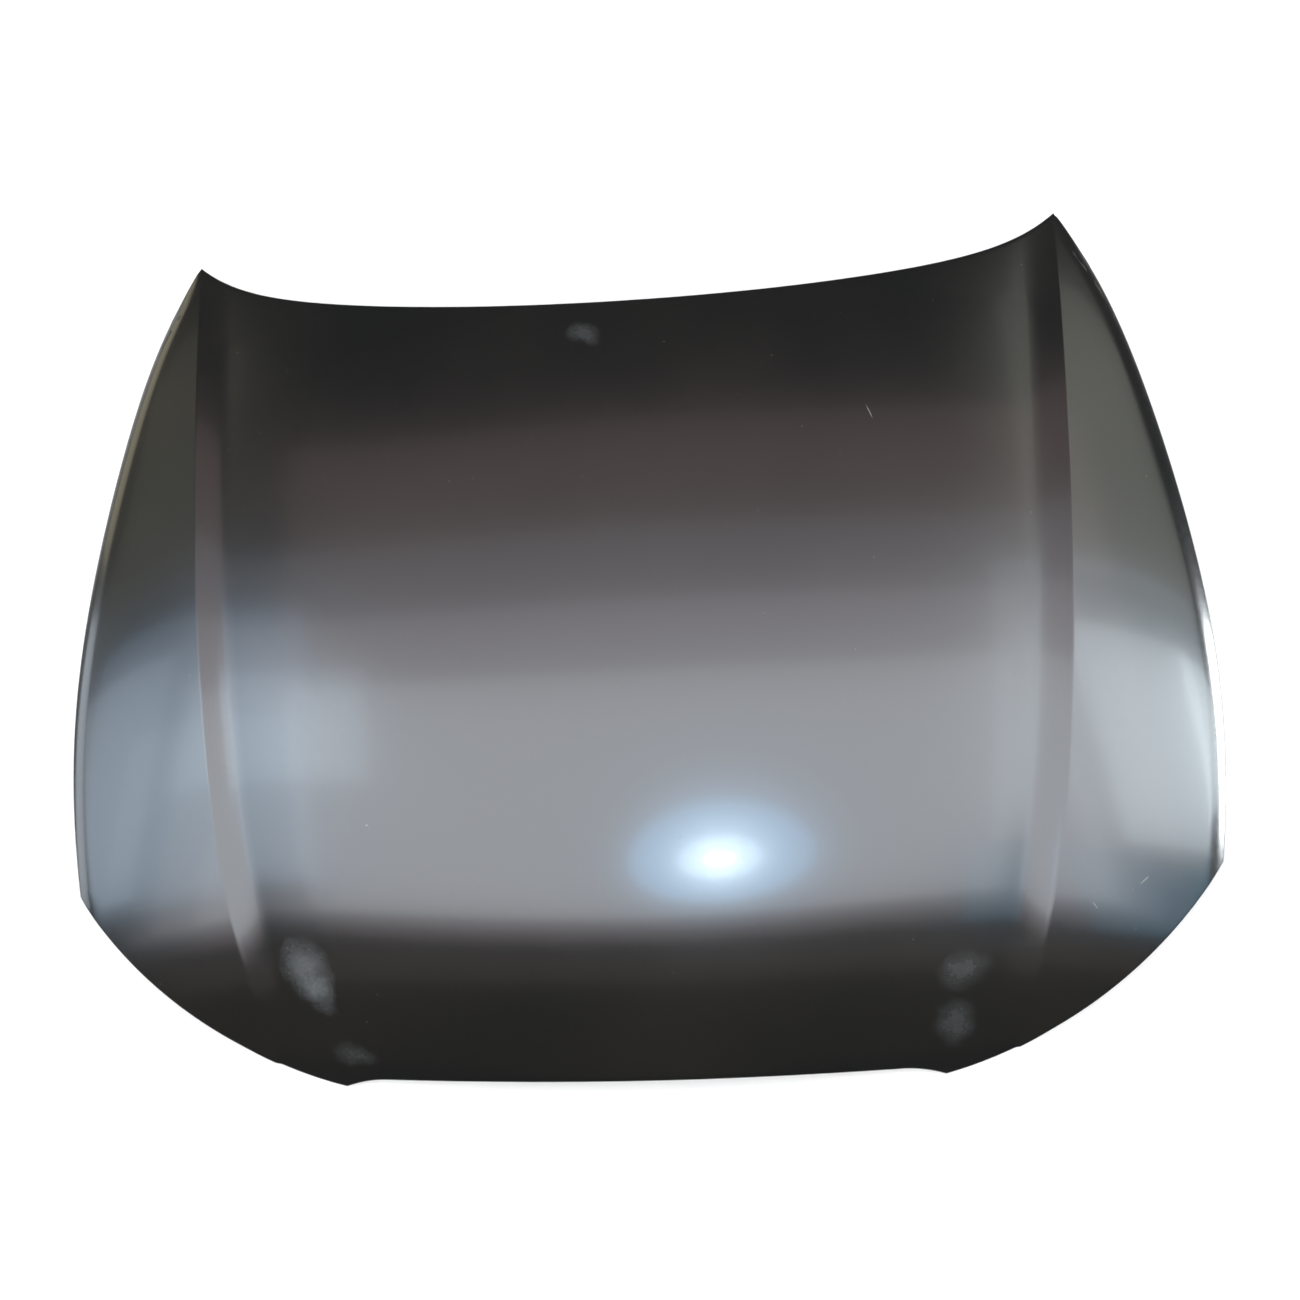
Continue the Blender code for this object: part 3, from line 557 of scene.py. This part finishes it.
def own_copy(name):
    """A merged copy of a CAD node, as the one selected object."""
    deselect()
    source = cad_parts[name]
    made = source.copy()
    made.data = source.data.copy()
    made.name = name + "_fine"
    bpy.context.scene.collection.objects.link(made)
    made.select_set(True)
    bpy.context.view_layer.objects.active = made
    bpy.ops.object.mode_set(mode="EDIT")
    bpy.ops.mesh.select_all(action="SELECT")
    bpy.ops.mesh.remove_doubles(threshold=WELD_DISTANCE)
    bpy.ops.mesh.select_all(action="DESELECT")
    bpy.ops.object.mode_set(mode="OBJECT")
    return made


# Only the upper face is kept, as whole flat pieces. Its bends are rounded, its large faces are made finer
# and smooth between the bends, its level pads stay level, and it gets its thickness again.
inner = own_copy("inner_frame")
level_pads = []
for face in inner.data.polygons:
    face.select = face.normal.z < UPPER_FACE
bpy.ops.object.mode_set(mode="EDIT")
bpy.ops.mesh.delete(type="FACE")
bpy.ops.mesh.select_all(action="SELECT")
bpy.ops.mesh.dissolve_limited(angle_limit=FLAT_ANGLE, delimit=set())
bpy.ops.object.mode_set(mode="OBJECT")
for face in inner.data.polygons:
    if face.normal.z > LEVEL and face.area > SMALLEST_PAD:
        points = [inner.data.vertices[i].co for i in face.vertices]
        xs = [point.x for point in points]
        ys = [point.y for point in points]
        level_pads.append((min(xs), max(xs), min(ys), max(ys), points[0].z))
bends = inner.modifiers.new("Bends", "BEVEL")
bends.width = BEND_WIDTH
bends.segments = 2
bends.limit_method = "ANGLE"
bends.angle_limit = BEND_ANGLE
bends.use_clamp_overlap = False
bpy.ops.object.modifier_apply(modifier="Bends")
for vertex in inner.data.vertices:
    vertex.co.z -= arch(vertex.co.x, vertex.co.y)
own_points = len(inner.data.vertices)
bpy.ops.object.mode_set(mode="EDIT")
bpy.ops.mesh.select_all(action="SELECT")
bpy.ops.mesh.quads_convert_to_tris()
for _ in range(REFINEMENTS):
    bpy.ops.mesh.select_all(action="DESELECT")
    bpy.ops.object.mode_set(mode="OBJECT")
    for edge in inner.data.edges:
        first, second = (inner.data.vertices[i].co for i in edge.vertices)
        edge.select = (first - second).length > LONGEST_EDGE
    bpy.ops.object.mode_set(mode="EDIT")
    bpy.ops.mesh.select_mode(type="EDGE")
    bpy.ops.mesh.subdivide(number_cuts=1)
    bpy.ops.mesh.select_all(action="SELECT")
    bpy.ops.mesh.quads_convert_to_tris()
    bpy.ops.mesh.beautify_fill(angle_limit=SOFT_ANGLE)
bpy.ops.mesh.select_mode(type="VERT")
bpy.ops.mesh.select_all(action="DESELECT")
bpy.ops.object.mode_set(mode="OBJECT")
around = [[] for _ in inner.data.vertices]
for face in inner.data.polygons:
    for i in face.vertices:
        around[i].append(face.normal)
for vertex, normals in zip(inner.data.vertices, around):
    bent = max(normals[0].angle(other) for other in normals) > SOFT_ANGLE
    level = min(normal.z for normal in normals) > LEVEL_ENOUGH
    vertex.select = vertex.index >= own_points and level and not bent
for edge, ends in edge_faces(inner):
    if ends == 1:
        for i in edge:
            inner.data.vertices[i].select = False
bpy.ops.object.mode_set(mode="EDIT")
bpy.ops.mesh.vertices_smooth(factor=0.5, repeat=SMOOTHING_ROUNDS)
bpy.ops.object.mode_set(mode="OBJECT")
for vertex in inner.data.vertices:
    vertex.co.z += arch(vertex.co.x, vertex.co.y)
    for x0, x1, y0, y1, z in level_pads:
        if x0 <= vertex.co.x <= x1 and y0 <= vertex.co.y <= y1 and abs(vertex.co.z - z) < PAD_REACH:
            vertex.co.z = z
sheet = inner.modifiers.new("Sheet", "SOLIDIFY")
sheet.thickness = FRAME_THICKNESS
sheet.offset = -1
bpy.ops.object.modifier_apply(modifier="Sheet")
bpy.ops.object.shade_smooth_by_angle(angle=FRAME_SMOOTHING)

INSIDE = (0.013, 0.013, 0.0135)
INSIDE_THIN = (0.026, 0.024, 0.021)
POWDER_SHOWN = 0.10
RUNS_GLOSS = -0.08

inside, shader, place = blank("black_primer_inside")
cloudy = noise(inside, place, scale=7.0, detail=4.0)
fine = noise(inside, place, scale=260.0, detail=3.0)
runs = node(inside, "Mapping", {"Vector": place, "Scale": (140, 9, 9)}).outputs["Vector"]
runs = ranged(inside, noise(inside, runs, scale=1.0, detail=3.0, roughness=0.6), 0.52, 0.66)
colour = blended(inside, ranged(inside, cloudy, 0.35, 0.7), INSIDE, INSIDE_THIN)
powder = ranged(inside, noise(inside, place, scale=420.0, detail=3.0), 0.50, 0.70)
dusty = product(inside, ranged(inside, cloudy, 0.45, 0.7), powder)
colour = blended(inside, product(inside, dusty, POWDER_SHOWN), colour, DUST)
inside.node_tree.links.new(colour, shader.inputs["Base Color"])
gloss = ranged(inside, cloudy, 0.3, 0.7, 0.36, 0.46)
gloss = total(inside, gloss, ranged(inside, fine, 0.3, 0.7, -0.03, 0.04), product(inside, runs, RUNS_GLOSS))
inside.node_tree.links.new(gloss, shader.inputs["Roughness"])
inside.node_tree.links.new(
    bumped(inside, (cloudy, 0.2, 0.001), (runs, 0.25, 0.0002), (fine, 0.10, 0.0001)),
    shader.inputs["Normal"],
)
inner.data.materials.clear()
inner.data.materials.append(inside)
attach(inner, "root")
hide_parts("inner_frame")


# Reinforcements and brackets
# Thicker steel plates, 1.2 to 2.5 mm, folded at their ends and spot-welded above the frame's level pads,
# where the hinges, the gas struts and the lock load the bonnet. They are dipped together with it.

PLATE_EDGE = 0.0003
PLATE_EDGE_ANGLE = math.radians(30)
PLATE_SMOOTHING = math.radians(35)
for name in (
    "latch_reinforcement", "striker_plate", "hinge_reinforcement_left", "hinge_reinforcement_right",
    "strut_bracket_left", "strut_bracket_right",
):
    plate = own_copy(name)
    eased = plate.modifiers.new("Eased edges", "BEVEL")
    eased.width = PLATE_EDGE
    eased.segments = 2
    eased.limit_method = "ANGLE"
    eased.angle_limit = PLATE_EDGE_ANGLE
    bpy.ops.object.modifier_apply(modifier="Eased edges")
    bpy.ops.object.shade_smooth_by_angle(angle=PLATE_SMOOTHING)
    plate.data.materials.clear()
    plate.data.materials.append(inside)
    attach(plate, "root")
    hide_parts(name)


# Striker loop and weld nuts
# The loop is 8 mm steel wire, bent to a U and welded to its plate. The nuts are hexagonal, projection
# welded behind the hinge pads. Both are zinc plated, and dull.

ZINC = (0.46, 0.46, 0.44)
ZINC_GREYED = (0.30, 0.30, 0.29)

zinc, shader, place = blank("dull_zinc")
worn = noise(zinc, place, scale=90.0, detail=4.0)
colour = blended(zinc, ranged(zinc, worn, 0.35, 0.7), ZINC, ZINC_GREYED)
zinc.node_tree.links.new(colour, shader.inputs["Base Color"])
zinc.node_tree.links.new(ranged(zinc, worn, 0.3, 0.7, 0.30, 0.50), shader.inputs["Roughness"])
zinc.node_tree.links.new(bumped(zinc, (worn, 0.2, 0.0002)), shader.inputs["Normal"])
shader.inputs["Metallic"].default_value = 1.0
plated = ["striker_loop"]
for hand in ("left", "right"):
    plated += ["hinge_weld_nut_" + hand + "_front", "hinge_weld_nut_" + hand + "_rear"]
for name in plated:
    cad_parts[name].data.materials.clear()
    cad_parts[name].data.materials.append(zinc)


# Anti-flutter mastic
# Short beads of grey mastic, laid by hand on the flanges of the frame's windows before the skin goes on,
# and baked with the primer. They bulge a little and stay soft.

MASTIC_DARK = (0.12, 0.12, 0.115)
MASTIC_PALE = (0.19, 0.19, 0.18)

mastic, shader, place = blank("baked_mastic")
lumpy = noise(mastic, place, scale=120.0, detail=4.0)
colour = blended(mastic, ranged(mastic, lumpy, 0.3, 0.7), MASTIC_DARK, MASTIC_PALE)
mastic.node_tree.links.new(colour, shader.inputs["Base Color"])
mastic.node_tree.links.new(ranged(mastic, lumpy, 0.3, 0.7, 0.75, 0.92), shader.inputs["Roughness"])
mastic.node_tree.links.new(bumped(mastic, (lumpy, 0.5, 0.0008)), shader.inputs["Normal"])
for name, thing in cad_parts.items():
    if name.startswith("mastic_pad"):
        thing.data.materials.clear()
        thing.data.materials.append(mastic)


# Floor, lights and camera
# A plain pale floor under soft studio light: a wide overhead softbox that the skin mirrors, weaker panels
# round it, and a small lamp beside the camera.

FLOOR_SIZE = 14
FLOOR_DARK = (0.90, 0.90, 0.90)
FLOOR_PALE = (0.94, 0.94, 0.94)

deselect()
bpy.ops.mesh.primitive_plane_add(size=FLOOR_SIZE)
floor = bpy.context.object
floor.name = "floor"
pale, shader, place = blank("pale_floor")
cloudy = noise(pale, place, scale=1.5, detail=3.0)
colour = blended(pale, cloudy, FLOOR_DARK, FLOOR_PALE)
pale.node_tree.links.new(colour, shader.inputs["Base Color"])
shader.inputs["Roughness"].default_value = 0.8
floor.data.materials.append(pale)


def panel(name, place, aim, size, strength, colour=(1, 1, 1), mirrored_only=True):
    """A soft area light, as strong as given on each square metre. Most only show where they are mirrored."""
    light = bpy.data.lights.new(name, "AREA")
    light.shape = "RECTANGLE"
    light.size, light.size_y = size
    light.energy = strength * size[0] * size[1]
    light.color = colour
    lamp = bpy.data.objects.new(name, light)
    bpy.context.scene.collection.objects.link(lamp)
    towards = Vector(aim) - Vector(place)
    lamp.matrix_world = Matrix.Translation(place) @ towards.to_track_quat("-Z", "Y").to_matrix().to_4x4()
    lamp.visible_diffuse = not mirrored_only
    return lamp


CEILING = 2.50
HANGING_STEP = 0.01
hung = []


def overhead(name, x, y, strength, colour=(1, 1, 1)):
    """A level panel overhead that fills these ranges of x and y. Each hangs a little above the last."""
    centre = Vector(((x[0] + x[1]) / 2, (y[0] + y[1]) / 2, CEILING + HANGING_STEP * len(hung)))
    hung.append(panel(name, centre, (centre.x, centre.y, 0), (x[1] - x[0], y[1] - y[0]), strength, colour))


overhead("softbox", (-2.35, 2.0), (-1.12, 0.45), 9.1, (0.78, 0.92, 1.0))
overhead("softbox_skirt", (-2.7, 2.1), (-1.18, 0.85), 5.3, (0.98, 0.94, 1.0))
overhead("softbox_edge", (-2.9, 2.3), (-1.30, 1.30), 3.4, (0.74, 0.86, 1.0))
overhead("ceiling_rear", (-2.4, 2.6), (-1.46, 2.05), 2.8, (1.0, 0.74, 0.70))
overhead("front_strip", (-2.6, 2.2), (-2.30, -1.75), 0.9, (1.0, 0.80, 0.68))
overhead("ceiling_front", (-4.0, 4.0), (-4.60, -1.46), 0.3, (1.0, 0.84, 0.63))
overhead("left_blue", (-2.8, -1.9), (-0.12, 0.56), 9.5, (0.70, 0.88, 1.0))
overhead("left_wing", (-3.4, -2.35), (-0.80, 0.30), 4.6, (0.64, 0.88, 1.0))
overhead("left_far", (-5.2, -3.0), (-0.80, 0.75), 11.0, (0.76, 0.88, 1.0))
overhead("left_low", (-4.4, -2.3), (-0.90, 0.98), 7.6, (0.54, 0.74, 1.0))
overhead("right_pale", (2.19, 3.5), (-0.62, 0.64), 24.5, (0.85, 0.96, 1.0))
overhead("right_skirt", (1.96, 4.0), (-0.72, 1.05), 8.0, (0.76, 0.88, 1.0))
overhead("right_front", (1.90, 3.6), (-1.60, -0.75), 6.0, (0.20, 0.66, 1.0))
overhead("right_far", (3.3, 5.5), (-0.45, 0.60), 34.0, (0.82, 0.94, 1.0))
overhead("left_dim", (-5.0, -2.9), (1.20, 3.40), 1.8, (0.95, 0.93, 0.72))
overhead("right_olive", (2.2, 4.4), (0.95, 3.20), 5.2, (0.97, 1.0, 0.88))
panel("right_wall", (4.9, 0.10, 1.2), (0.7, -0.1, 0.05), (1.6, 1.2), 190.0, (0.90, 0.96, 1.0))
panel("left_wall", (-5.2, 0.2, 1.5), (-0.7, 0.1, 0.05), (2.4, 1.6), 14.0, (0.80, 0.90, 1.0))
panel("left_olive", (-5.4, 3.2, 1.2), (-0.6, 0.2, 0.05), (2.6, 1.8), 5.5, (1.0, 0.91, 0.64))
floor_light = panel("floor_light", (0, 0, 4.0), (0, 0, 0), (6.0, 6.0), 9, mirrored_only=False)
floor_light.visible_glossy = False

STUDIO_TONE = (0.30, 0.30, 0.29, 1)
STUDIO_STRENGTH = 0.35
world = bpy.data.worlds.new("studio")
bpy.context.scene.world = world
world.use_nodes = True
world.node_tree.nodes["Background"].inputs["Color"].default_value = STUDIO_TONE
world.node_tree.nodes["Background"].inputs["Strength"].default_value = STUDIO_STRENGTH

CAMERA_AZIMUTH = 0.30122
CAMERA_ELEVATION = 1.37277
CAMERA_ROLL = -0.33941
CAMERA_DISTANCE = 1.45113
CAMERA_LENS = 30.91
SENSOR_WIDTH = 36
LOOK_AT = Vector((0.03038, 0.53974 + FRONT_Y, 0.05 + LIFT))
back = Vector((
    math.sin(CAMERA_AZIMUTH) * math.cos(CAMERA_ELEVATION),
    -math.cos(CAMERA_AZIMUTH) * math.cos(CAMERA_ELEVATION),
    math.sin(CAMERA_ELEVATION),
))
across = (-back).cross(Vector((0, 0, 1))).normalized()
upward = across.cross(-back)
turned_x = math.cos(CAMERA_ROLL) * across + math.sin(CAMERA_ROLL) * upward
turned_y = -math.sin(CAMERA_ROLL) * across + math.cos(CAMERA_ROLL) * upward
lens = bpy.data.cameras.new("camera")
lens.sensor_width = SENSOR_WIDTH
lens.lens = CAMERA_LENS
camera = bpy.data.objects.new("camera", lens)
bpy.context.scene.collection.objects.link(camera)
facing = Matrix((turned_x, turned_y, back)).transposed().to_4x4()
camera_place = LOOK_AT + CAMERA_DISTANCE * back
camera.matrix_world = Matrix.Translation(camera_place) @ facing
bpy.context.scene.camera = camera

LAMP_OFFSET = Vector((0.15, -0.185, 0.0))
LAMP_STEP = Vector((0.0, 0.0, 0.02))
DOWN = Vector((0.0, 0.0, -1.0))
lamp_place = camera_place + LAMP_OFFSET
for name, size, strength, colour in (
    ("camera_lamp", (0.12, 0.05), 170, (0.93, 0.97, 1.0)),
    ("lamp_glow", (0.36, 0.20), 34, (0.80, 0.97, 1.0)),
    ("lamp_halo", (0.78, 0.48), 19, (0.24, 0.60, 1.0)),
):
    lamp = panel(name, lamp_place, lamp_place + DOWN, size, strength, colour)
    lamp.data.shape = "ELLIPSE"
    lamp_place = lamp_place + LAMP_STEP
bpy.context.scene.view_settings.view_transform = "Standard"
